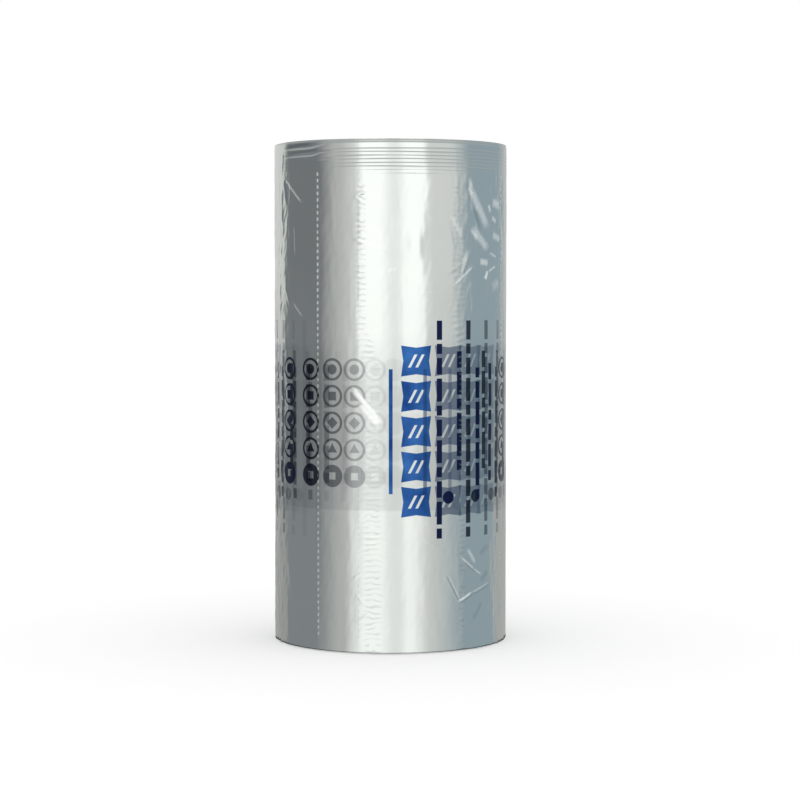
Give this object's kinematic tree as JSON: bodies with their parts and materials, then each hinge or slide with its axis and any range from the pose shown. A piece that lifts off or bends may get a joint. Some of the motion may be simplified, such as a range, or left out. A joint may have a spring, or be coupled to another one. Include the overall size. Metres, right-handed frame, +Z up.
{
  "type": "air pillow film roll",
  "caption": "Roll of clear two-ply film for making air pillows, wound on a paperboard core and standing on its end, with tear-off perforations and a simple blue print.",
  "frame": {"origin": "centre of the roll's bottom end, on the surface it stands on", "axes": "+Z up the roll's axis, towards the end with the ridged filling channel; -Y towards the viewer, with +X to the viewer's right"},
  "size_m": [0.1887, 0.1886, 0.4],
  "materials": {
    "paperboard": "matt spiral-wound brown paperboard with fine fibres",
    "clear_film": "many turns of clear polyethylene film that read as silvery grey, glossy, softly wrinkled",
    "blue_ink": "royal blue ink under a glossy film",
    "navy_ink": "navy ink under a glossy film",
    "ink_one_turn_down": "print on the next turn seen faintly through the film",
    "ink_turns_deeper": "print some turns deeper seen more faintly through the film"
  },
  "bodies": {
    "root": {"paper_core": "paperboard", "film_roll": "clear_film", "print_blue": "blue_ink", "print_navy": "navy_ink", "print_beneath": "ink_one_turn_down", "print_deeper": "ink_turns_deeper"}
  },
  "joints": []
}
